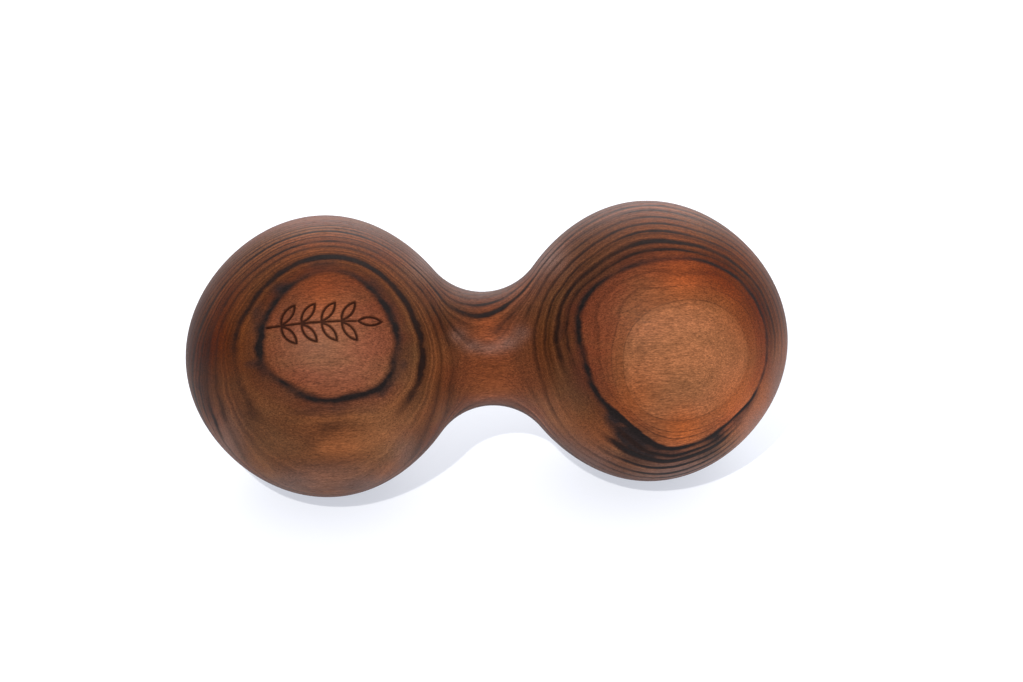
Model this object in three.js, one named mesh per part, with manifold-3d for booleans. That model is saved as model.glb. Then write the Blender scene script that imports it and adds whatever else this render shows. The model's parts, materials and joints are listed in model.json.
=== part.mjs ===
// Double-ball massage roller, turned from one billet of walnut.
//
// Two balls are joined by a waist, in one piece of wood with no joint, plug or fastener. The roller lies
// on the ground plane Z = 0 with its long axis along X, and the origin is on that plane, midway between
// the balls. A small leaf sprig is engraved in the left ball. All lengths are in millimetres.

import * as THREE from "three";
import { mergeVertices } from "three/addons/utils/BufferGeometryUtils.js";
import Module from "manifold-3d";

// Driving dimensions of the turned body.
const BALL_RADIUS = 35; // at the pole and at the equator of each ball
const BALL_SPACING = 80; // between the two ball centres
const WAIST_RADIUS = 14.2; // at the thinnest place, midway
const OUTER_LEAN = 0.6; // how far the outer shoulder lies inside a true ball, 45 degrees from the pole
const INNER_LEAN = 0.92; // the same on the shoulder that faces the waist

// Driving dimensions of the engraved sprig: a straight stem with pairs of leaflets and one at its tip.
const SPRIG_CENTRE_X = -41;
const SPRIG_TILT = THREE.MathUtils.degToRad(49); // of its centre above the horizontal, on the -Y side
const ENGRAVING_DEPTH = 0.5;
const LINE_WIDTH = 0.55;
const STEM_LENGTH = 22;
const LEAFLET_LENGTH = 6.4;
const LEAFLET_WIDTH = 2.6;
const LEAFLET_ANGLE = THREE.MathUtils.degToRad(52); // between the stem and a side leaflet
const LEAFLET_PAIRS = 4;
const PAIR_PITCH = 4.9; // between one pair and the next, along the stem
const FIRST_PAIR = 3.9; // from the base of the tip leaflet back to the base of the first pair

// Fineness of the faceted surface.
const SEGMENTS_ROUND = 60;
const STEPS_POLE_TO_EQUATOR = 12;
const STEPS_EQUATOR_TO_WAIST = 9;
const STEPS_IN_WAIST = 10;
const STEPS_PER_LEAFLET_SIDE = 5;
const MERGE_DISTANCE = 1e-4; // corners nearer than this are one corner

// The waist's arc is sought between these radii, to this tolerance.
const WAIST_ARC_LOW = 3;
const WAIST_ARC_HIGH = 70;
const WAIST_ARC_TOLERANCE = 1e-7;

const WALNUT_BROWN = 0x6b3f28;
const SATIN_ROUGHNESS = 0.45;

const BALL_CENTRE = BALL_SPACING / 2;

// Distance of the surface from the ball's centre, at an angle from the outward pole. A ball turned by
// eye is full at its pole and equator and a little lean on the shoulders between them.
function ballReach(angle) {
  const lean = angle < Math.PI / 2 ? OUTER_LEAN : INNER_LEAN;
  return BALL_RADIUS - lean * Math.sin(2 * angle) ** 2;
}

// A point of the right ball's outline: x is the radius from the long axis, y the place along it.
function ballPoint(angle) {
  const reach = ballReach(angle);
  return new THREE.Vector2(
    reach * Math.sin(angle),
    BALL_CENTRE + reach * Math.cos(angle),
  );
}

// The angle at which the outline of the ball comes nearest to a point beside the waist. The span that
// holds it is cut down by a third at a time.
function nearestBallAngle(point) {
  let [low, high] = [Math.PI / 2, Math.PI];
  while (high - low > WAIST_ARC_TOLERANCE) {
    const third = (high - low) / 3;
    const nearerLow =
      ballPoint(low + third).distanceTo(point) <
      ballPoint(high - third).distanceTo(point);
    if (nearerLow) high -= third;
    else low += third;
  }
  return (low + high) / 2;
}

// The hollow arc of the waist, found so that it runs into both balls with no corner.
function waistArc() {
  let [low, high] = [WAIST_ARC_LOW, WAIST_ARC_HIGH];
  while (high - low > WAIST_ARC_TOLERANCE) {
    const radius = (low + high) / 2;
    const centre = new THREE.Vector2(WAIST_RADIUS + radius, 0);
    const gap = ballPoint(nearestBallAngle(centre)).distanceTo(centre) - radius;
    if (gap > 0) low = radius;
    else high = radius;
  }
  const centre = new THREE.Vector2(WAIST_RADIUS + low, 0);
  return { radius: low, centre, meetsBallAt: nearestBallAngle(centre) };
}

// The outline from the left pole to the right pole.
function bodyOutline() {
  const { radius, centre, meetsBallAt } = waistArc();
  const equator = Math.PI / 2;
  const rightBall = [];
  for (let i = 0; i < STEPS_POLE_TO_EQUATOR; i++)
    rightBall.push(ballPoint((equator * i) / STEPS_POLE_TO_EQUATOR));
  for (let i = 0; i <= STEPS_EQUATOR_TO_WAIST; i++) {
    const share = i / STEPS_EQUATOR_TO_WAIST;
    rightBall.push(ballPoint(equator + (meetsBallAt - equator) * share));
  }
  rightBall[0].x = 0;
  const leftBall = rightBall.map((p) => new THREE.Vector2(p.x, -p.y));
  const halfSweep = Math.asin(rightBall.at(-1).y / radius);
  const waist = [];
  for (let i = 1; i < STEPS_IN_WAIST; i++) {
    const turn = halfSweep * ((2 * i) / STEPS_IN_WAIST - 1);
    waist.push(
      new THREE.Vector2(
        centre.x - radius * Math.cos(turn),
        radius * Math.sin(turn),
      ),
    );
  }
  return [...leftBall, ...waist, ...rightBall.reverse()];
}

// Turns an outline about the X axis, with a flat between two edges facing straight down.
function turned(outline) {
  const halfSegment = Math.PI / SEGMENTS_ROUND;
  const geometry = new THREE.LatheGeometry(outline, SEGMENTS_ROUND);
  geometry.rotateY(halfSegment);
  geometry.rotateZ(-Math.PI / 2);
  return geometry;
}

// A pointed oval on the stem's line, from its base to its tip, as two arcs.
function leafletOval(length, width) {
  const bulge = (length ** 2 / width + width) / 4;
  const half = Math.asin(length / 2 / bulge);
  const points = [];
  for (const side of [1, -1])
    for (let i = 0; i < 2 * STEPS_PER_LEAFLET_SIDE; i++) {
      const turn = half * (i / STEPS_PER_LEAFLET_SIDE - 1);
      points.push(
        new THREE.Vector2(
          side * bulge * Math.sin(turn) + length / 2,
          side * (bulge - width / 2 - bulge * Math.cos(turn)),
        ),
      );
    }
  return points;
}

// A leaflet drawn as an engraved line: an oval with a smaller one taken out of it.
function leaflet(baseAlongStem, angle) {
  const origin = new THREE.Vector2(0, 0);
  const inset = LINE_WIDTH / LEAFLET_WIDTH;
  const innerLength = LEAFLET_LENGTH * (1 - 2 * inset);
  const innerWidth = LEAFLET_WIDTH - 2 * LINE_WIDTH;
  const place = (point, along) =>
    new THREE.Vector2(point.x + along, point.y)
      .rotateAround(origin, angle)
      .add(new THREE.Vector2(baseAlongStem, 0));
  const outer = leafletOval(LEAFLET_LENGTH, LEAFLET_WIDTH);
  const inner = leafletOval(innerLength, innerWidth);
  const shape = new THREE.Shape(outer.map((p) => place(p, 0)));
  const shift = (LEAFLET_LENGTH - innerLength) / 2;
  shape.holes.push(new THREE.Path(inner.map((p) => place(p, shift))));
  return shape;
}

// The sprig's lines in a flat plane, centred on the middle of the whole mark. The stem runs a line's
// width into the tip leaflet.
function sprigShapes() {
  const stemStart = -(STEM_LENGTH + LEAFLET_LENGTH) / 2;
  const stemEnd = stemStart + STEM_LENGTH;
  const stem = new THREE.Shape();
  stem.moveTo(stemStart, -LINE_WIDTH / 2);
  stem.lineTo(stemEnd + LINE_WIDTH, -LINE_WIDTH / 2);
  stem.lineTo(stemEnd + LINE_WIDTH, LINE_WIDTH / 2);
  stem.lineTo(stemStart, LINE_WIDTH / 2);
  const shapes = [stem, leaflet(stemEnd, 0)];
  for (let pair = 0; pair < LEAFLET_PAIRS; pair++) {
    const base = stemEnd - FIRST_PAIR - PAIR_PITCH * pair;
    shapes.push(leaflet(base, LEAFLET_ANGLE), leaflet(base, -LEAFLET_ANGLE));
  }
  return shapes;
}

const wasm = await Module();
wasm.setup();

// A closed geometry as a solid that can be joined and cut.
function solidOf(geometry) {
  const bare = new THREE.BufferGeometry();
  bare.setAttribute("position", geometry.getAttribute("position"));
  if (geometry.index) bare.setIndex(geometry.index);
  const merged = mergeVertices(bare, MERGE_DISTANCE);
  return new wasm.Manifold(
    new wasm.Mesh({
      numProp: 3,
      vertProperties: merged.attributes.position.array,
      triVerts: new Uint32Array(merged.index.array),
    }),
  );
}

// A solid as a geometry with flat facets.
function geometryOf(solid) {
  const mesh = solid.getMesh();
  const geometry = new THREE.BufferGeometry();
  geometry.setAttribute(
    "position",
    new THREE.BufferAttribute(mesh.vertProperties, 3),
  );
  geometry.setIndex(new THREE.BufferAttribute(mesh.triVerts, 1));
  const faceted = geometry.toNonIndexed();
  faceted.computeVertexNormals();
  return faceted;
}

// What the engraving takes out of the left ball: the sprig's lines, down to a shell that follows the
// ball. The sprig's plane has the stem along X and faces the way the sprig faces.
function engraving() {
  const sprigPlane = new THREE.Matrix4().makeBasis(
    new THREE.Vector3(1, 0, 0),
    new THREE.Vector3(0, Math.sin(SPRIG_TILT), Math.cos(SPRIG_TILT)),
    new THREE.Vector3(0, -Math.cos(SPRIG_TILT), Math.sin(SPRIG_TILT)),
  );
  const prisms = sprigShapes().map((shape) => {
    const prism = new THREE.ExtrudeGeometry(shape, {
      depth: BALL_RADIUS,
      bevelEnabled: false,
    });
    prism.translate(SPRIG_CENTRE_X, 0, BALL_RADIUS / 2);
    return solidOf(prism.applyMatrix4(sprigPlane));
  });
  const shellOutline = bodyOutline().map((p) => {
    const fromCentre = new THREE.Vector2(p.x, Math.abs(p.y) - BALL_CENTRE);
    fromCentre.setLength(fromCentre.length() - ENGRAVING_DEPTH);
    const radius = p.x === 0 ? 0 : fromCentre.x;
    const along = Math.sign(p.y) * (fromCentre.y + BALL_CENTRE);
    return new THREE.Vector2(radius, along);
  });
  const shell = solidOf(turned(shellOutline));
  return prisms.reduce((all, next) => all.add(next)).subtract(shell);
}

function rollerBody() {
  const body = solidOf(turned(bodyOutline())).subtract(engraving());
  const walnut = new THREE.MeshStandardMaterial({
    color: WALNUT_BROWN,
    roughness: SATIN_ROUGHNESS,
    metalness: 0,
  });
  const mesh = new THREE.Mesh(geometryOf(body), walnut);
  mesh.name = "turned_body";
  mesh.position.z = BALL_RADIUS * Math.cos(Math.PI / SEGMENTS_ROUND);
  return mesh;
}

const roller = new THREE.Group();
roller.add(rollerBody());

export default roller;
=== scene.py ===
"""Double-ball massage roller, turned from one billet of oiled walnut, in soft studio light.

The fine surface stands for the faceted CAD body: the same outline, turned smooth, with the leaf
sprig cut into the left ball. The walnut is a solid figure. Every point of the wood has a growth
depth in millimetres, which follows the tree's rings through both balls and the waist and rises
towards the bark. The rings' tones and dark streaks are read off that depth.
"""

import json
import math

import bpy
import numpy as np
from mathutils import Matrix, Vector


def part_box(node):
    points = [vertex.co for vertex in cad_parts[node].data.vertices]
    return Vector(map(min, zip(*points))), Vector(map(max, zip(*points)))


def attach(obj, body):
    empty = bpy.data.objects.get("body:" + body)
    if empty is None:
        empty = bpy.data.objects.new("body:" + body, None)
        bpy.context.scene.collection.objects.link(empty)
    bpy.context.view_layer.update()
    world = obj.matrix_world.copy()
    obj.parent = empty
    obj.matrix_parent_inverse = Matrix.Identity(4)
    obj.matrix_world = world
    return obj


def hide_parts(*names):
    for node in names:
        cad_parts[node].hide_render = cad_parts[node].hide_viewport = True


MM = 0.001

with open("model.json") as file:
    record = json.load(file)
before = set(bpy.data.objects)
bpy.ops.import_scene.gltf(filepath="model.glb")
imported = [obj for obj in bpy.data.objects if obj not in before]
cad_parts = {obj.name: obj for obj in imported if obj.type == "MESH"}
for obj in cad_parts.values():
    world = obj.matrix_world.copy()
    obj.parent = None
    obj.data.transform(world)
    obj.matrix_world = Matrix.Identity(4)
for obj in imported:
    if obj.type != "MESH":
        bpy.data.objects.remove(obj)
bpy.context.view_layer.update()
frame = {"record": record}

# ---- The turned body, from the frame -----------------------------------------------------------

BODY_LOW, BODY_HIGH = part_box("turned_body")
RESTS = {m["name"]: m["pos_m"] for m in frame["record"]["mounts"]}
BALL_X = RESTS["right_ball_rest"][0]
BALL_RADIUS = BODY_HIGH.x - BALL_X
AXIS_HEIGHT = BODY_LOW.z + BALL_RADIUS
WAIST_RADIUS = 14.2 * MM
OUTER_LEAN = 0.6 * MM  # how far the outer shoulder lies inside a true ball
INNER_LEAN = 0.92 * MM  # the same on the shoulder that faces the waist

BALL_POINTS = 4001  # of the outline of one ball, from pole to pole
WAIST_POINTS = 400  # of the outline from the middle of the waist to the ball
HOLLOW_LOW, HOLLOW_HIGH = BALL_RADIUS / 10, BALL_RADIUS * 2  # the waist's arc lies between these
HALVINGS = 50  # of the span between them, in the search for that arc

# ---- The engraved sprig ------------------------------------------------------------------------

SPRIG_X = -41 * MM
SPRIG_TILT = math.radians(49)  # of its centre above the horizontal, on the -Y side
TOWARDS_SPRIG = np.array([0, -math.cos(SPRIG_TILT), math.sin(SPRIG_TILT)])
ACROSS_SPRIG = np.array([0, math.sin(SPRIG_TILT), math.cos(SPRIG_TILT)])
ENGRAVING_DEPTH = 0.5 * MM
LINE_WIDTH = 0.55 * MM
LINE_SOFTNESS = 0.3 * MM  # how wide the slope of a groove's wall is
STEM_LENGTH = 22 * MM
LEAFLET_LENGTH = 6.4 * MM
LEAFLET_WIDTH = 2.6 * MM
LEAFLET_ANGLE = math.radians(52)  # between the stem and a side leaflet
LEAFLET_PAIRS = 4
PAIR_PITCH = 4.9 * MM  # between one pair and the next, along the stem
FIRST_PAIR = 3.9 * MM  # from the base of the tip leaflet back to the base of the first pair

FINE_CELL = 0.175 * MM  # of the surface where the sprig is
COARSE_CELL = 1.2 * MM  # of the rest of the surface
CELL_BLEND = 12 * MM  # the distance over which fine cells grow into coarse ones
SPRIG_MARGIN = 1.5 * MM  # of fine cells round the sprig
GRADING_POINTS = 40001  # at which the size of the cells is worked out

# ---- The figure of the wood --------------------------------------------------------------------
#
# All in millimetres, placed against the photograph. x runs along the roller, up runs up
# the flat-sawn face from the roller's axis, and out runs from the axis towards that face.

FACE_TILT = math.radians(35)  # of the flat-sawn face above the horizontal, on the -Y side
FRONT_BLEND = 8  # how far out the local changes below reach their full size
SIDE_BLEND = 16  # how far from the waist's middle a ball's rings are all its own

# The growth depth is the distance out, with these amounts added to it. An amount given as a pair
# goes from the first to the second between the two distances out that are given before it.
LEFT_LEAN_OUT = (10, 31)
LEFT_LEAN = (-0.40, 0.16)  # for each millimetre up
RIGHT_SLOPE_OUT = (14, 34)
RIGHT_SLOPE = (0.07, 0.33)  # for each millimetre of x past the ball's middle
RIGHT_LEAN = -0.12  # for each millimetre up
RIGHT_START = 5  # all over the right ball

# The pale disc on the right ball. Between these growth depths its own shape takes over from the
# swirls: rings tipped about one place and stretched about another, each given as x and up.
DISC_EDGE = (33, 37)
DISC_TIP = 0.07
DISC_TIP_PLACE = (51, -4)
DISC_STRETCH = 0.005
DISC_STRETCH_PLACE = (45, -3)

# Local swirls of the rings, on either ball: x, up, change of growth depth, radius.
SWIRLS_LEFT = [
    (-52, -8, -1.1, 6),
    (-40, -12, -1.6, 6),
    (-55, 12, -0.7, 7),
    (-26, 12, -0.5, 7),
    (-38, -18, -1.2, 5),
    (-40, -11, 0.7, 3.5),
]
SWIRLS_RIGHT = [
    (22, 8, 4.0, 8),
    (34, -22, -2.6, 7),
    (58, -20, -2.2, 7),
    (50, 22, -3.1, 8),
    (37, -12, 2.5, 5),
    (52, -14, 2.0, 5),
    (47, -26, -1.5, 5),
    (47, 11, -1.2, 5),
    (49, 15, 2.2, 5),
    (29, 4, -2.2, 5),
    (30, -18, -0.9, 4),
    (43.5, -27, 0.6, 3),
    (57, -21, -0.4, 4),
]

# Where the main dark ring is stronger or weaker: x, up, change, radius.
RING_PATCHES = [
    (-40, 20.5, -0.6, 5),
    (-57, 6, 0.3, 5),
    (-37, -13, 0.3, 5),
    (-27, 10, 0.5, 5),
    (46, 20.5, -0.4, 5),
    (29, 15, -0.3, 5),
    (20, 6, 0.4, 6),
    (27, -14, 0.6, 5),
    (33, -22, 1.2, 5),
    (45, -26, 0.5, 5),
    (57, -21, 0.4, 4),
    (67, -2, -0.3, 6),
]

# Where the other dark streaks are stronger or weaker: x, up, change, radius.
STREAK_PATCHES = [
    (-40, -22, -0.65, 9),
    (-55, -18, -0.6, 6),
    (-27, -17, -0.8, 6),
    (-60, -3, -0.8, 7),
    (-69, -12, 0.8, 5),
    (-37, 26, 0.6, 6),
    (-52, 22, 0.5, 5),
    (-18, 8, 0.3, 6),
    (-24, 2, -0.6, 4),
    (0, -8, -1.2, 7),
    (0, 8.5, 1.8, 4),
    (0, 12.6, -1.0, 2.5),
    (7, 5, -0.7, 3.5),
    (42, 24, 0.6, 7),
    (68, -12, -1.0, 8),
    (63, -23, -1.0, 6),
    (22, 5, 0.4, 6),
    (20, -10, -0.9, 5),
    (23, -21, -1.0, 5),
    (36, -27, 1.5, 5),
    (46, -29, 1.6, 6),
    (56, -24, 0.6, 5),
    (33, -33, -0.8, 4),
]

# Where the wood is warmer and plainer: x, up, amount, radius.
WARM_PATCHES = [
    (0, -7, 0.4, 7),
    (0, 6, 0.3, 4),
    (23, -20, 0.6, 4.5),
    (45, -22, 0.9, 4),
    (33, -14, 0.5, 4),
    (58, -17, 0.5, 4),
    (46, 14.5, 0.5, 4),
    (-40, -22, 0.4, 6),
    (-42, 15, 0.4, 4),
    (68, -14, 0.3, 6),
]

# Where the wood is darker or lighter than its rings say, with painted light on the top, bottom
# and right rims and on the shoulders by the waist, and painted shade on the left rim: x, up,
# change, radius.
TONE_AND_PAINTED_LIGHT_PATCHES = [
    (-70, 3, -0.5, 7),
    (-66, 12, -0.2, 5),
    (-42, 21, -0.3, 5),
    (-54, 20, -0.25, 5),
    (-50, 14, -0.2, 5),
    (-33, 21, -0.2, 4),
    (-27, 14, -0.2, 4),
    (-57, -3, -0.25, 3),
    (-21, 0, -0.25, 3),
    (-50, 5, 0.1, 7),
    (-36, -4, 0.15, 8),
    (-25, -13, 0.4, 7),
    (-39, -33, 0.35, 6),
    (-30, -28, 0.2, 6),
    (-60, 9, 0.15, 4),
    (-39, 9, 0.15, 5),
    (-70, -22, 1.0, 4),
    (-62, -29, 1.0, 4),
    (-62, -18, -0.2, 4),
    (-50, -34, 0.4, 6),
    (-24, -30, 1.0, 5),
    (-40, 34, 0.45, 8),
    (-57, 26, 0.2, 5),
    (-48, 32, 0.15, 6),
    (-18, 24, 0.25, 5),
    (0, 3.2, 0.7, 2.5),
    (0, -14, 0.6, 4),
    (0, -5, -0.2, 5),
    (0, 9, -0.2, 4),
    (14, 1, -0.15, 5),
    (9, 15, 0.4, 3),
    (-9, 15, 0.3, 3),
    (-9, 9, -0.3, 4),
    (15, 22, 0.6, 4),
    (12, -17, 0.8, 4),
    (-12, -18, 0.6, 4),
    (-15, -2, 0.3, 3),
    (57, 9, 0.25, 3),
    (22, 18, -0.25, 5),
    (22, 0, 0.2, 4),
    (22, -17, -0.45, 5),
    (27, -28, 0.5, 4),
    (14, -20, 0.6, 4),
    (46, 35, 0.4, 8),
    (59, 18, -0.3, 6),
    (64, 8, -0.2, 5),
    (67, -19, 0.9, 7),
    (50, -33, 1.0, 7),
    (40, -34, 0.6, 5),
    (64, -26, 1.4, 5),
    (75, -4, 0.9, 4),
    (66, 22, 0.4, 5),
    (45, 9, 0.1, 8),
]

# The same in bands, with painted light and shade among them as well as the wood's tone: x, up,
# radius along x, radius up, change.
TONE_AND_PAINTED_LIGHT_BANDS = [
    (-38, -17.5, 9, 1.5, -0.15),
    (-50, -14.5, 4, 3, -0.2),
    (-49, -20, 4, 1.4, 0.2),
    (-41, -22.3, 4, 1.4, 0.25),
    (-34, -22.3, 4, 1.4, 0.3),
    (-27, -20, 4, 1.6, 0.35),
    (-22, -16, 2.5, 2.5, 0.2),
    (-41, -26.5, 13, 2.4, -0.4),
    (-67, 8, 1.3, 8, 0.2),
    (46.5, 13.8, 6, 1.1, 0.25),
]

# Where it is redder, or less red where the change is below 0: x, up, change, radius.
REDNESS_PATCHES = [
    (-69, 5, 1.7, 6),
    (-60, 14, 0.4, 6),
    (-40, 22, 0.7, 7),
    (-29, 21, 0.4, 5),
    (-44, 3, -0.6, 9),
    (-22, 1, -0.5, 5),
    (-32, -12, -0.7, 8),
    (22, -14, -0.6, 6),
    (-42, -26, -0.7, 9),
    (-58, -20, -0.6, 7),
    (-27, -22, -0.4, 6),
    (33, -24, -0.5, 7),
    (55, -27, -0.5, 7),
    (0, 9, 0.4, 4),
    (0, -15, -0.3, 4),
    (14, 2, 0.4, 4),
    (20, -19, -0.8, 5),
    (27, 8, -0.3, 5),
    (46, 25, 0.8, 8),
    (58, 17, 1.4, 6),
    (64, 9, 0.5, 5),
    (67, 5, 0.7, 6),
    (45, 9, -0.3, 6),
    (45, -24, -0.3, 8),
    (68, -18, -0.4, 6),
]

# Where dark extract has soaked the wood: x, up, radius along x, radius up, amount.
STAINS = [
    (25.5, -13, 2, 2.6, 0.6),
    (28, -17, 2.4, 3, 0.8),
    (31, -21.5, 3, 3.2, 0.9),
    (34, -25, 3.6, 2.8, 0.9),
    (38.5, -27.5, 4.5, 2.2, 0.7),
    (53, -24, 3.5, 2.4, 0.8),
    (58.7, -19.5, 2.4, 2.8, 0.6),
    (62, -16.4, 1.8, 2.8, 0.5),
    (64, -12.8, 1.5, 3, 0.45),
    (48, -28.5, 9, 2.5, 0.5),
    (16, 3, 1.6, 6, 0.45),
    (-71, -6, 3.2, 9, 0.5),
    (-57, 10, 2.2, 5, 0.5),
    (-51, 17, 3.5, 2.5, 0.6),
    (-42, 22.5, 10, 1.8, 0.45),
    (-29, 16, 3, 3.5, 0.5),
    (-25, 9, 2.4, 5, 0.5),
    (-58.5, -1, 3, 1.3, 0.45),
    (-56.5, -3, 1.5, 3, 0.45),
    (-28, -9.5, 1.6, 1.3, 0.5),
    (-26, -7.6, 1.6, 1.3, 0.5),
    (-24, -5.5, 1.5, 1.4, 0.5),
    (-22.3, -3, 1.3, 1.8, 0.5),
    (-40, -13.2, 11, 2, 0.5),
]

# Where it has turned grey, as in the crescent across the waist, and painted sheen on the
# shoulders by the waist and along the bottom and right rims: x, up, radius along x, radius up,
# amount.
GREY_AND_SHEEN_SPOTS = [
    (-8, 3.5, 2.2, 1.8, 0.4),
    (-4.5, 1, 2.5, 1.6, 0.45),
    (0, 0, 3, 1.5, 0.45),
    (4.5, 1.2, 2.5, 1.6, 0.45),
    (7.5, 3.5, 2, 1.8, 0.4),
    (0, -14, 8, 2, 0.6),
    (-40, -28, 12, 2.5, 0.25),
    (-15, 22, 4, 4, 0.7),
    (15, 22, 4, 4, 0.8),
    (17, -26, 5, 4, 0.5),
    (-32, -32, 10, 2.5, 0.7),
    (45, -33, 10, 2.2, 0.7),
    (71, -14, 3, 8, 0.7),
    (65, -22, 5, 5, 0.6),
    (24, -29, 5, 3, 0.5),
    (-22, -25, 4, 5, 0.5),
    (47, -29.5, 9, 3, 0.5),
    (-66, -22, 4, 8, 0.6),
    (-50, -31, 7, 3, 0.6),
]


def smoothstep(x, start, end):
    share = np.clip((x - start) / (end - start), 0, 1)
    return share * share * (3 - 2 * share)


def ball_reach(angle):
    """Distance of the surface from its ball's centre, at an angle from the outward pole."""
    lean = np.where(angle < math.pi / 2, OUTER_LEAN, INNER_LEAN)
    return BALL_RADIUS - lean * np.sin(2 * angle) ** 2


def right_half_outline():
    """Points (place along the axis, radius) from the middle of the waist to the right pole."""
    angle = np.linspace(math.pi, 0, BALL_POINTS)
    ball_x = BALL_X + ball_reach(angle) * np.cos(angle)
    ball_r = ball_reach(angle) * np.sin(angle)
    low, high = HOLLOW_LOW, HOLLOW_HIGH
    for _ in range(HALVINGS):
        hollow = (low + high) / 2
        gap = np.hypot(ball_x, ball_r - WAIST_RADIUS - hollow).min() - hollow
        low, high = (hollow, high) if gap > 0 else (low, hollow)
    meets = np.argmin(np.hypot(ball_x, ball_r - WAIST_RADIUS - hollow))
    waist_x = np.linspace(0, ball_x[meets], WAIST_POINTS, endpoint=False)
    waist_r = WAIST_RADIUS + hollow - np.sqrt(hollow**2 - waist_x**2)
    return np.concatenate([waist_x, ball_x[meets:]]), np.concatenate([waist_r, ball_r[meets:]])


def graded(start, end, fine_start, fine_end, fine, coarse, blend):
    """Places from start to end, `fine` apart from fine_start to fine_end.

    Past those two the step grows over the length `blend`, until the places are `coarse` apart.
    """
    t = np.linspace(start, end, GRADING_POINTS)
    outside = np.maximum(np.maximum(fine_start - t, t - fine_end), 0)
    step = fine + (coarse - fine) * np.clip(outside / blend, 0, 1)
    count = np.concatenate([[0], np.cumsum(np.diff(t) / step[:-1])])
    return np.interp(np.linspace(0, count[-1], int(count[-1])), count, t)


def turned_surface():
    """The surface as a grid of points about the X axis, fine round the sprig, and its two poles.

    Each row of the grid is a ring of points at one place along the axis.
    """
    half_x, half_r = right_half_outline()
    outline_x = np.concatenate([-half_x[::-1], half_x[1:]])
    outline_r = np.concatenate([half_r[::-1], half_r[1:]])
    run = np.concatenate([[0], np.cumsum(np.hypot(np.diff(outline_x), np.diff(outline_r)))])
    half_sprig = (STEM_LENGTH + LEAFLET_LENGTH) / 2 + SPRIG_MARGIN
    fine_run = np.interp([SPRIG_X - half_sprig, SPRIG_X + half_sprig], outline_x, run)
    stations = graded(0, run[-1], *fine_run, FINE_CELL, COARSE_CELL, CELL_BLEND)[1:-1]
    x = np.interp(stations, run, outline_x)
    r = np.interp(stations, run, outline_r)

    half_height = LEAFLET_LENGTH * math.sin(LEAFLET_ANGLE) + LEAFLET_WIDTH / 2 + SPRIG_MARGIN / 2
    fine_turn = half_height / BALL_RADIUS
    sizes = [size / BALL_RADIUS for size in (FINE_CELL, COARSE_CELL, CELL_BLEND)]
    turn = graded(-math.pi, math.pi, -fine_turn, fine_turn, *sizes)[:-1]

    ring = np.cos(turn)[:, None] * TOWARDS_SPRIG + np.sin(turn)[:, None] * ACROSS_SPRIG
    points = r[:, None, None] * ring[None]
    points[..., 0] = x[:, None]
    poles = np.array([[outline_x[0], 0, 0], [outline_x[-1], 0, 0]])
    return points, poles


def lens_distance(x, y, length, width):
    """Signed distance from a pointed oval about the origin, with its long axis along x."""
    arc = (length**2 / width + width) / 4
    centre = arc - width / 2
    x, y = np.abs(x), np.abs(y)
    past_tip = (x - length / 2) * centre > y * length / 2
    return np.where(past_tip, np.hypot(x - length / 2, y), np.hypot(x, y + centre) - arc)


def sprig_distance(x, y):
    """Signed distance from the engraved lines, in the flat plane of the sprig."""
    stem_start = -(STEM_LENGTH + LEAFLET_LENGTH) / 2
    stem_end = stem_start + STEM_LENGTH
    stem_middle = stem_start + STEM_LENGTH / 2
    distance = np.maximum(np.abs(x - stem_middle) - STEM_LENGTH / 2, np.abs(y) - LINE_WIDTH / 2)
    leaflets = [(stem_end, 0)]
    for pair in range(LEAFLET_PAIRS):
        for side in (1, -1):
            leaflets.append((stem_end - FIRST_PAIR - PAIR_PITCH * pair, side * LEAFLET_ANGLE))
    for base, angle in leaflets:
        along = (x - base) * math.cos(angle) + y * math.sin(angle) - LEAFLET_LENGTH / 2
        across = y * math.cos(angle) - (x - base) * math.sin(angle)
        oval = lens_distance(along, across, LEAFLET_LENGTH, LEAFLET_WIDTH)
        distance = np.minimum(distance, np.abs(oval + LINE_WIDTH / 2) - LINE_WIDTH / 2)
    return distance


def sprig_cut(points):
    """How deep the sprig is cut at each point of the surface, as a share of its full depth."""
    distance = sprig_distance(points[..., 0] - SPRIG_X, points @ ACROSS_SPRIG)
    cut = 1 - smoothstep(distance, -LINE_SOFTNESS / 2, LINE_SOFTNESS / 2)
    return cut * ((points @ TOWARDS_SPRIG > 0) & (points[..., 0] < 0))


def bumps(x, up, places):
    """The sum of round hills, each given as x, up, height and radius."""
    total = np.zeros_like(x)
    for at_x, at_up, height, radius in places:
        total += height * np.exp(-((x - at_x) ** 2 + (up - at_up) ** 2) / (2 * radius**2))
    return total


def spots(x, up, places):
    """The sum of oval hills, each given as x, up, radius along x, radius up and height."""
    total = np.zeros_like(x)
    for at_x, at_up, radius_x, radius_up, height in places:
        away = ((x - at_x) / radius_x) ** 2 + ((up - at_up) / radius_up) ** 2
        total += height * np.exp(-away)
    return total


def disc_shape(x, up):
    """How much less the growth depth is where the pale disc has its own shape."""
    tip_x, tip_up = DISC_TIP_PLACE
    middle_x, middle_up = DISC_STRETCH_PLACE
    tip = DISC_TIP * (x - tip_x) + DISC_TIP * (up - tip_up)
    return tip - DISC_STRETCH * (x - middle_x) ** 2 + DISC_STRETCH * (up - middle_up) ** 2


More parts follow.
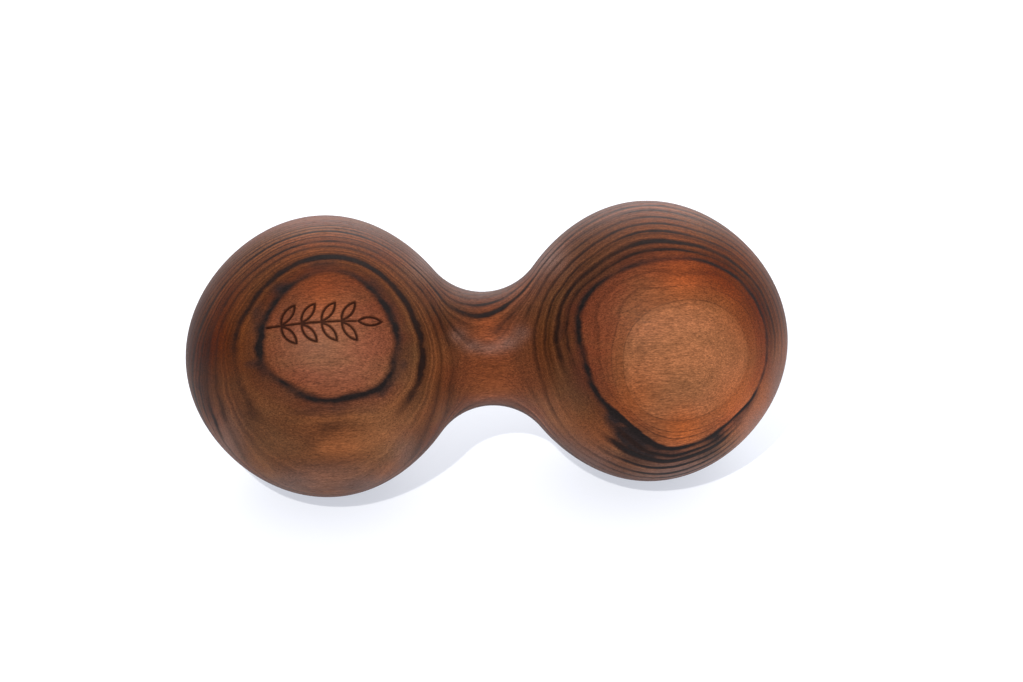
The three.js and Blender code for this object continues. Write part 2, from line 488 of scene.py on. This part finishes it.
def figure(points):
    """The figure of the wood at each point, as a dict of one value a point.

    growth: the growth depth, about 35 on the face of the left ball and 40 on the right
    side: 0 on the left ball and 1 on the right
    ring: strength of the main dark ring, about 1
    strength: of the other dark streaks and of the fine rings, about 1
    warmth: how far the wood has turned orange, from 0 to 1
    shade: how light the wood is beside its rings' own tone, with painted light on the rims and
    shoulders and painted shade on the left rim, about 1
    redness: how far it is redder, or less red where it is below 0
    greyness: how far it has turned grey, with painted sheen on the rims and the shoulders by the
    waist, from 0 up
    stain: how far dark extract has soaked in, from 0 up
    """
    x = points[:, 0] / MM
    y = points[:, 1] / MM
    z = (points[:, 2] - AXIS_HEIGHT) / MM
    up = y * math.sin(FACE_TILT) + z * math.cos(FACE_TILT)
    out = z * math.sin(FACE_TILT) - y * math.cos(FACE_TILT)
    front = smoothstep(out, 0, FRONT_BLEND)
    left_lean = np.interp(out, LEFT_LEAN_OUT, LEFT_LEAN)
    left = out + left_lean * up + bumps(x, up, SWIRLS_LEFT) * front
    right_slope = np.interp(out, RIGHT_SLOPE_OUT, RIGHT_SLOPE)
    right = out + RIGHT_START + right_slope * (x - BALL_X / MM) + RIGHT_LEAN * up
    right -= disc_shape(x, up) * smoothstep(right, *DISC_EDGE)
    right += bumps(x, up, SWIRLS_RIGHT) * front * (1 - smoothstep(right, *DISC_EDGE))
    side = smoothstep(x, -SIDE_BLEND, SIDE_BLEND)
    return {
        "growth": left * (1 - side) + right * side,
        "side": side,
        "ring": np.maximum(1 + bumps(x, up, RING_PATCHES) * front, 0),
        "strength": np.maximum(1 + bumps(x, up, STREAK_PATCHES) * front, 0),
        "warmth": np.clip(bumps(x, up, WARM_PATCHES) * front, 0, 1),
        "shade": 1 + (bumps(x, up, TONE_AND_PAINTED_LIGHT_PATCHES) + spots(x, up, TONE_AND_PAINTED_LIGHT_BANDS)) * front,
        "redness": bumps(x, up, REDNESS_PATCHES) * front,
        "greyness_and_sheen": spots(x, up, GREY_AND_SHEEN_SPOTS) * front,
        "stain": spots(x, up, STAINS) * front,
    }


def body_mesh():
    """The turned surface with the sprig pressed into it, and the figure of its wood."""
    points, poles = turned_surface()
    cut = sprig_cut(points)
    inward = np.array([-BALL_X, 0, 0]) - points
    inward /= np.linalg.norm(inward, axis=-1, keepdims=True)
    carved = points + inward * cut[..., None] * ENGRAVING_DEPTH
    lift = np.array([0, 0, AXIS_HEIGHT])
    turned = np.concatenate([points.reshape(-1, 3), poles]) + lift
    carved = np.concatenate([carved.reshape(-1, 3), poles]) + lift

    rows, columns = cut.shape
    index = np.arange(rows * columns).reshape(rows, columns)
    after = np.roll(index, -1, axis=1)
    quads = np.stack([index[:-1], index[1:], after[1:], after[:-1]], -1).reshape(-1, 4)
    left_fan = np.stack([np.full(columns, rows * columns), index[0], after[0]], -1)
    right_fan = np.stack([np.full(columns, rows * columns + 1), after[-1], index[-1]], -1)
    faces = quads.tolist() + left_fan.tolist() + right_fan.tolist()
    mesh = bpy.data.meshes.new("turned_surface")
    mesh.from_pydata(carved.tolist(), [], faces)

    # The figure runs straight on under the engraving, so it is that of the uncut surface.
    fields = figure(turned)
    fields["engraved"] = np.concatenate([cut.reshape(-1), [0, 0]])
    for name, values in fields.items():
        attribute = mesh.attributes.new(name, "FLOAT", "POINT")
        attribute.data.foreach_set("value", values.astype(np.float32))
    mesh.shade_smooth()
    mesh.update()
    return mesh


# ---- The walnut --------------------------------------------------------------------------------


def linear(red, green, blue):
    """A colour given as 0 to 255 in sRGB, as Blender's linear colour."""

    def channel(value):
        share = value / 255
        return share / 12.92 if share <= 0.04045 else ((share + 0.055) / 1.055) ** 2.4

    return (channel(red), channel(green), channel(blue), 1)


INK = linear(25, 19, 18)
UMBER = linear(34, 18, 12)
# A grey of the wood, also used for painted sheen on the rims and shoulders.
GREY_AND_SHEEN = linear(108, 82, 73)
STAIN = linear(34, 25, 24)
ORANGE = linear(134, 64, 27)
OLIVE = linear(88, 58, 33)
CHAR = linear(30, 13, 8)

# The tone of the wood on either ball: growth depth, then its colour in sRGB.
TONES_LEFT = [
    (-40, (64, 36, 25)), (-33, (84, 47, 31)), (-28, (82, 49, 28)), (-21, (84, 47, 31)),
    (-14, (92, 45, 26)), (-6, (84, 47, 31)), (0, (76, 44, 32)), (6, (86, 48, 30)),
    (10, (82, 46, 28)), (13, (90, 48, 26)), (16, (80, 42, 24)), (19, (86, 45, 25)),
    (22, (88, 48, 25)), (24, (94, 52, 27)), (27, (90, 49, 25)), (29, (80, 40, 23)),
    (31, (96, 48, 28)), (33, (104, 54, 34)), (36, (110, 63, 41)), (40, (118, 70, 46)),
]
TONES_RIGHT = [
    (-40, (84, 47, 31)), (-30, (92, 45, 26)), (-24, (98, 54, 31)), (-16, (84, 47, 31)),
    (-8, (64, 36, 25)), (0, (75, 43, 31)), (8, (88, 52, 38)), (11, (94, 55, 38)),
    (14, (90, 52, 35)), (17, (84, 48, 30)), (20, (84, 47, 28)), (23, (84, 47, 26)),
    (26, (76, 42, 24)), (28.5, (72, 36, 22)), (31, (88, 41, 23)), (33, (97, 47, 26)),
    (34.3, (102, 52, 29)), (34.8, (106, 57, 32)), (37.2, (111, 61, 34)), (37.5, (124, 73, 44)),
    (40, (132, 80, 50)), (43, (138, 86, 54)),
]
TONE_SPAN = (-41, 44)  # of growth depth, a little wider than the wood's own

# Dark streaks: growth depth, how far one fades towards the bark and towards the pith, strength.
MAIN_RING_LEFT = [(30.0, 0.9, 1.3, 0.95)]
MAIN_RING_RIGHT = [(30.2, 0.9, 1.2, 1.0)]
STREAKS_LEFT = [
    (28.0, 0.3, 0.5, 0.35), (25.6, 1.3, 2.0, 1.3), (23.2, 0.5, 0.8, 0.3),
    (20.9, 0.6, 1.3, 0.5), (17.8, 0.8, 1.4, 0.75), (15.0, 0.4, 0.6, 0.6),
    (10.9, 1.1, 1.3, 1.0), (7.6, 0.9, 1.3, 0.7), (4.6, 0.8, 1.2, 0.7),
]
STREAKS_RIGHT = [
    (37.4, 0.12, 0.3, 0.4), (34.5, 0.15, 0.4, 0.3), (32.6, 0.15, 0.5, 0.25),
    (28.2, 0.5, 0.9, 0.8), (26.1, 0.9, 1.3, 1.1), (23.2, 0.6, 1.0, 0.8),
    (20.4, 0.6, 1.2, 0.85), (17.5, 0.6, 1.1, 0.8), (14.2, 0.7, 1.1, 0.8),
    (10.9, 1.0, 1.2, 1.0), (7.8, 0.7, 1.3, 0.8),
]
STREAKS_BACK = [
    (2.5, 0.3, 0.7, 0.6), (0.0, 0.3, 0.8, 0.5), (-3.0, 0.5, 0.8, 0.6),
    (-8.2, 0.3, 0.9, 0.5), (-12.4, 0.8, 1.0, 0.8), (-17.0, 0.3, 0.6, 0.4),
    (-21.5, 0.6, 0.9, 0.9), (-26.5, 0.3, 0.7, 0.35),
]
STREAKS_IN_A_RAMP = 6  # of three stops each, as one colour ramp holds 32 stops at most

# How often each pattern repeats in a metre, along the grain and in the two directions across it.
SLOW_WANDER = (22, 70, 70)
QUICK_WANDER = (80, 320, 320)
PATCHES = (120, 240, 240)
MOTTLES = (45, 130, 130)
FIBRES = (300, 2600, 2600)
FLECKS = (1500, 5200, 5200)
PORES = (300, 2200, 2200)
FINE_RINGS = 1.1  # in a millimetre of growth depth

# What a value from low to high turns into: low, high, then what each of the two becomes.
SLOW_WANDER_MM = (0, 1, -1.4, 1.4)
QUICK_WANDER_MM = (0, 1, -0.4, 0.4)
WANDER_BY_GROWTH = (31, 36, 1, 0.35)
STREAK_PATCHINESS = (0.35, 0.65, 0.6, 1.15)
STAIN_DARKNESS = (0.15, 0.7, 0, 1)
STAIN_BY_GROWTH = (30, 31, 1, 0)
FINE_RING_SHADE = (0.3, 0.7, 0.6, 1.15)
MOTTLE_AMOUNT = (0.42, 0.68, 0, 0.35)
PLAIN_BY_GROWTH = (27, 32, 0, 0.75)
PLAIN_BY_STRENGTH = (0, 0.8, 0.9, 0)
BLACK_BY_DARKNESS = (0.9, 1.8, 0, 1)
FIBRE_SHADE = (0.3, 0.7, 0.65, 1.35)
PORE_BY_DISTANCE = (0.16, 0.3, 1, 0)
FIBRE_ROUGHNESS = (0.25, 0.75, 0.44, 0.56)

RED_TAKES_GREEN = 0.25  # the share of green that a redness of 1 takes away
RED_TAKES_BLUE = 0.5
PORE_DARKNESS = 0.3
PORE_ROUGHNESS = 0.75
CHAR_DARKNESS = 0.9
CHAR_ROUGHNESS = 0.85
FIBRE_HEIGHT = 0.35  # beside the depth of a pore
BUMP_STRENGTH = 0.25
BUMP_HEIGHT = 0.05 * MM
OIL_SHINE = 0.05


class Nodes:
    """The node tree of a material or world, with short ways to add to it."""

    def __init__(self, owner):
        owner.use_nodes = True
        self.tree = owner.node_tree
        self.tree.nodes.clear()

    def add(self, kind, inputs=(), **settings):
        made = self.tree.nodes.new("ShaderNode" + kind)
        for name, value in settings.items():
            setattr(made, name, value)
        for key, value in dict(inputs).items():
            if isinstance(value, bpy.types.NodeSocket):
                self.tree.links.new(value, made.inputs[key])
            else:
                made.inputs[key].default_value = value
        return made

    def math(self, operation, *values):
        return self.add("Math", enumerate(values), operation=operation).outputs[0]

    def attribute(self, name):
        return self.add("Attribute", attribute_name=name).outputs["Fac"]

    def mix(self, factor, a, b, blend="MIX"):
        inputs = {"Factor": factor, 6: a, 7: b}
        settings = {"data_type": "RGBA", "blend_type": blend, "clamp_factor": True}
        return self.add("Mix", inputs, **settings).outputs[2]

    def blend(self, factor, a, b):
        inputs = {"Factor": factor, 2: a, 3: b}
        return self.add("Mix", inputs, data_type="FLOAT", clamp_factor=True).outputs[0]

    def stretch(self, coordinates, scale):
        inputs = {0: coordinates, 1: scale}
        return self.add("VectorMath", inputs, operation="MULTIPLY").outputs[0]

    def noise(self, coordinates, scale, detail=2.0, roughness=0.5):
        """Noise over coordinates stretched by a scale for each axis, from 0 to 1."""
        inputs = {"Vector": self.stretch(coordinates, scale), "Scale": 1.0}
        inputs.update({"Detail": detail, "Roughness": roughness})
        return self.add("TexNoise", inputs).outputs["Fac"]

    def rescale(self, value, low, high, to_low=0.0, to_high=1.0):
        inputs = {0: value, 1: low, 2: high, 3: to_low, 4: to_high}
        return self.add("MapRange", inputs, clamp=True).outputs[0]

    def ramp(self, value, stops, low, high, interpolation="LINEAR"):
        """The colour at a value, between stops given as (place, colour)."""
        made = self.add("ValToRGB", {0: self.rescale(value, low, high)})
        made.color_ramp.interpolation = interpolation
        elements = made.color_ramp.elements
        elements.remove(elements[1])
        for number, (place, colour) in enumerate(stops):
            position = (place - low) / (high - low)
            element = elements[0] if number == 0 else elements.new(position)
            element.position = position
            element.color = colour
        return made.outputs["Color"]

    def streaks(self, value, streaks):
        """How dark the streaks are at a growth depth: their strength, and 0 between them."""
        total = 0.0
        ordered = sorted(streaks)
        for first in range(0, len(ordered), STREAKS_IN_A_RAMP):
            stops = []
            for depth, barkward, pithward, strength in ordered[first:first + STREAKS_IN_A_RAMP]:
                levels = ((depth - pithward, 0), (depth, strength), (depth + barkward, 0))
                stops += [(place, (level, level, level, 1)) for place, level in levels]
            ramp = self.ramp(value, stops, stops[0][0], stops[-1][0], "EASE")
            total = self.math("ADD", total, ramp)
        return total


def wandering_growth(nodes, place):
    """The growth depth. Its rings wander, more slowly along the grain than across it."""
    growth = nodes.attribute("growth")
    slow = nodes.rescale(nodes.noise(place, SLOW_WANDER), *SLOW_WANDER_MM)
    quick = nodes.noise(place, QUICK_WANDER, detail=3.0, roughness=0.6)
    wander = nodes.math("ADD", slow, nodes.rescale(quick, *QUICK_WANDER_MM))
    wander = nodes.math("MULTIPLY", wander, nodes.rescale(growth, *WANDER_BY_GROWTH))
    return nodes.math("ADD", growth, wander)


def ring_tones(nodes, growth, side):
    """The wood's own colour at a growth depth on either ball."""
    left, right = (
        nodes.ramp(growth, [(depth, linear(*colour)) for depth, colour in tones], *TONE_SPAN)
        for tones in (TONES_LEFT, TONES_RIGHT)
    )
    return nodes.mix(side, left, right)


def fine_rings(nodes, growth, warmth):
    """What the fine rings multiply the tone by. Warm wood and a ball's face are plainer."""
    inputs = {"W": growth, "Scale": FINE_RINGS, "Detail": 3.0}
    rings = nodes.add("TexNoise", inputs, noise_dimensions="1D").outputs["Fac"]
    plain = nodes.math("MAXIMUM", nodes.rescale(growth, *PLAIN_BY_GROWTH), warmth)
    faint = nodes.rescale(nodes.attribute("strength"), *PLAIN_BY_STRENGTH)
    plain = nodes.math("MAXIMUM", plain, faint)
    return nodes.blend(plain, nodes.rescale(rings, *FINE_RING_SHADE), 1.0)


def tint(nodes):
    """What the wood's tone is multiplied by, from its local shade and redness; the shade includes
    painted light on the rims and shoulders and painted shade on the left rim.
    """
    shade = nodes.attribute("shade")
    redness = nodes.attribute("redness")
    channels = {"Red": shade}
    for name, taken in (("Green", RED_TAKES_GREEN), ("Blue", RED_TAKES_BLUE)):
        kept = nodes.math("SUBTRACT", 1.0, nodes.math("MULTIPLY", redness, taken))
        channels[name] = nodes.math("MULTIPLY", shade, kept)
    return nodes.add("CombineColor", channels).outputs[0]


def figured_wood(nodes, place):
    """The colour of the wood before its fibres and pores, with painted light, shade and sheen at
    its rims and shoulders.
    """
    side = nodes.attribute("side")
    warmth = nodes.attribute("warmth")
    growth = wandering_growth(nodes, place)

    mottle = nodes.rescale(nodes.noise(place, MOTTLES), *MOTTLE_AMOUNT)
    tone = nodes.mix(mottle, ring_tones(nodes, growth, side), OLIVE)
    tone = nodes.mix(warmth, tone, ORANGE)
    tone = nodes.mix(1.0, tone, fine_rings(nodes, growth, warmth), "MULTIPLY")
    # The tint's shade holds painted light on the top, bottom and right rims and the shoulders,
    # and painted shade on the left rim.
    tone = nodes.mix(1.0, tone, tint(nodes), "MULTIPLY")
    # Grey of the wood, with painted sheen on the rims and the shoulders by the waist.
    tone = nodes.mix(nodes.attribute("greyness_and_sheen"), tone, GREY_AND_SHEEN)

    # Stains stay outside the closed rings, where the growth depth is less.
    patchy = nodes.rescale(nodes.noise(place, PATCHES, detail=3.0), *STREAK_PATCHINESS)
    stain = nodes.math("MULTIPLY", nodes.attribute("stain"), patchy)
    stain = nodes.rescale(stain, *STAIN_DARKNESS)
    stain = nodes.math("MULTIPLY", stain, nodes.rescale(growth, *STAIN_BY_GROWTH))
    tone = nodes.mix(stain, tone, STAIN)

    left, right = (nodes.streaks(growth, streaks) for streaks in (STREAKS_LEFT, STREAKS_RIGHT))
    back = nodes.streaks(growth, STREAKS_BACK)
    darkness = nodes.math("ADD", nodes.blend(side, left, right), back)
    strength = nodes.math("MULTIPLY", nodes.attribute("strength"), patchy)
    darkness = nodes.math("MULTIPLY", darkness, strength)
    left, right = (nodes.streaks(growth, ring) for ring in (MAIN_RING_LEFT, MAIN_RING_RIGHT))
    ring = nodes.blend(side, left, right)
    ring = nodes.math("MULTIPLY", ring, nodes.math("MULTIPLY", nodes.attribute("ring"), patchy))
    black = nodes.math("MAXIMUM", ring, nodes.rescale(darkness, *BLACK_BY_DARKNESS))
    return nodes.mix(black, nodes.mix(darkness, tone, UMBER), INK)


def walnut():
    material = bpy.data.materials.new("oiled_walnut")
    nodes = Nodes(material)
    place = nodes.add("TexCoord").outputs["Object"]
    fibre = nodes.noise(place, FIBRES, detail=4.0, roughness=0.65)
    flecks = nodes.noise(place, FLECKS)
    inputs = {"Vector": nodes.stretch(place, PORES), "Scale": 1.0}
    pore_distance = nodes.add("TexVoronoi", inputs).outputs["Distance"]
    pore = nodes.rescale(pore_distance, *PORE_BY_DISTANCE)
    engraved = nodes.attribute("engraved")

    fibre_shade = nodes.rescale(fibre, *FIBRE_SHADE)
    shade = nodes.math("MULTIPLY", fibre_shade, nodes.rescale(flecks, *FIBRE_SHADE))
    colour = nodes.mix(1.0, figured_wood(nodes, place), shade, "MULTIPLY")
    colour = nodes.mix(nodes.math("MULTIPLY", pore, PORE_DARKNESS), colour, INK)
    colour = nodes.mix(nodes.math("MULTIPLY", engraved, CHAR_DARKNESS), colour, CHAR)

    roughness = nodes.rescale(fibre, *FIBRE_ROUGHNESS)
    roughness = nodes.blend(pore, roughness, PORE_ROUGHNESS)
    roughness = nodes.blend(engraved, roughness, CHAR_ROUGHNESS)
    height = nodes.math("SUBTRACT", nodes.math("MULTIPLY", fibre, FIBRE_HEIGHT), pore)
    inputs = {"Height": height, "Strength": BUMP_STRENGTH, "Distance": BUMP_HEIGHT}
    bump = nodes.add("Bump", inputs).outputs[0]
    inputs = {"Base Color": colour, "Roughness": roughness}
    inputs.update({"Normal": bump, "Specular IOR Level": OIL_SHINE})
    shader = nodes.add("BsdfPrincipled", inputs)
    nodes.add("OutputMaterial", {"Surface": shader.outputs[0]})
    return material


# ---- The stage ---------------------------------------------------------------------------------

CAMERA_AZIMUTH = math.radians(-4.73)
CAMERA_ELEVATION = math.radians(35)
CAMERA_DISTANCE = 1.12
CAMERA_LENS = 158.4  # millimetres, on a sensor 36 mm wide
CAMERA_CLIP = 0.05
AIM_RIGHT = 5.97 * MM  # from the middle of the body
AIM_UP = 1.87 * MM
SUN_DIRECTION = (-0.216, -0.640, 0.737)
SUN_STRENGTH = 2.75
SUN_ANGLE = math.radians(1.2)
WINDOW_PLACE = (0.15, 1.0, 0.4)
WINDOW_SIZE = 0.9
WINDOW_POWER = 10.0
SKY_COLOUR = (0.93, 0.95, 1, 1)
SKY_STRENGTH = 1.7
BRIGHT_SIDE = (0.55, 0.55, 0.65)  # of the sky
SKY_FADE = (-0.5, 0.9)  # from its dimmest to its brightest, measured along that direction
DIM_SHARE = 0.08  # of the sky's brightness where it is dimmest
FLOOR_SIZE = 6.0
FLOOR_COLOUR = (0.4, 0.4, 0.4, 1)
FLOOR_ROUGHNESS = 0.9
GLOW_COLOUR = (0.86, 0.9, 1, 1)  # of the light table under the white floor
GLOW_STRENGTH = 0.62


def light_table():
    material = bpy.data.materials.new("light_table")
    nodes = Nodes(material)
    inputs = {"Base Color": FLOOR_COLOUR, "Roughness": FLOOR_ROUGHNESS, "Specular IOR Level": 0.0}
    inputs.update({"Emission Color": GLOW_COLOUR, "Emission Strength": GLOW_STRENGTH})
    shader = nodes.add("BsdfPrincipled", inputs)
    nodes.add("OutputMaterial", {"Surface": shader.outputs[0]})
    return material


def shown(name, data):
    made = bpy.data.objects.new(name, data)
    bpy.context.scene.collection.objects.link(made)
    return made


def floor():
    half = FLOOR_SIZE / 2
    corners = [(-half, -half, 0), (half, -half, 0), (half, half, 0), (-half, half, 0)]
    mesh = bpy.data.meshes.new("floor")
    mesh.from_pydata(corners, [], [(0, 1, 2, 3)])
    mesh.materials.append(light_table())
    return shown("floor", mesh)


def camera():
    made = shown("camera", bpy.data.cameras.new("camera"))
    made.data.lens = CAMERA_LENS
    made.data.clip_start = CAMERA_CLIP
    back = np.array([
        math.sin(CAMERA_AZIMUTH) * math.cos(CAMERA_ELEVATION),
        -math.cos(CAMERA_AZIMUTH) * math.cos(CAMERA_ELEVATION),
        math.sin(CAMERA_ELEVATION),
    ])
    right = np.array([math.cos(CAMERA_AZIMUTH), math.sin(CAMERA_AZIMUTH), 0])
    up = np.cross(back, right)
    aim = np.array([0, 0, AXIS_HEIGHT]) + AIM_RIGHT * right + AIM_UP * up
    made.location = aim + back * CAMERA_DISTANCE
    made.rotation_euler = (math.pi / 2 - CAMERA_ELEVATION, 0, CAMERA_AZIMUTH)
    return made


def facing(direction):
    """The rotation of a light that shines from a direction towards the origin."""
    return Vector(direction).to_track_quat("Z", "Y").to_euler()


def studio_light():
    """A sky that is bright on one side, a sun and a window behind the roller."""
    world = bpy.data.worlds.new("studio")
    bpy.context.scene.world = world
    nodes = Nodes(world)
    inputs = {0: nodes.add("TexCoord").outputs["Generated"], 1: BRIGHT_SIDE}
    toward = nodes.add("VectorMath", inputs, operation="DOT_PRODUCT").outputs["Value"]
    strength = nodes.rescale(toward, *SKY_FADE, SKY_STRENGTH * DIM_SHARE, SKY_STRENGTH)
    background = nodes.add("Background", {"Color": SKY_COLOUR, "Strength": strength})
    nodes.add("OutputWorld", {"Surface": background.outputs[0]})
    sun = shown("sun", bpy.data.lights.new("sun", "SUN"))
    sun.data.energy = SUN_STRENGTH
    sun.data.angle = SUN_ANGLE
    sun.rotation_euler = facing(SUN_DIRECTION)
    window = shown("window", bpy.data.lights.new("window", "AREA"))
    window.data.energy = WINDOW_POWER
    window.data.size = WINDOW_SIZE
    window.location = WINDOW_PLACE
    window.rotation_euler = facing(WINDOW_PLACE)


bpy.context.scene.view_settings.view_transform = "Standard"
bpy.context.scene.camera = camera()
studio_light()
floor()

body = shown("walnut_body", body_mesh())
body.data.materials.append(walnut())
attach(body, "root")
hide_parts("turned_body")

bpy.context.view_layer.update()
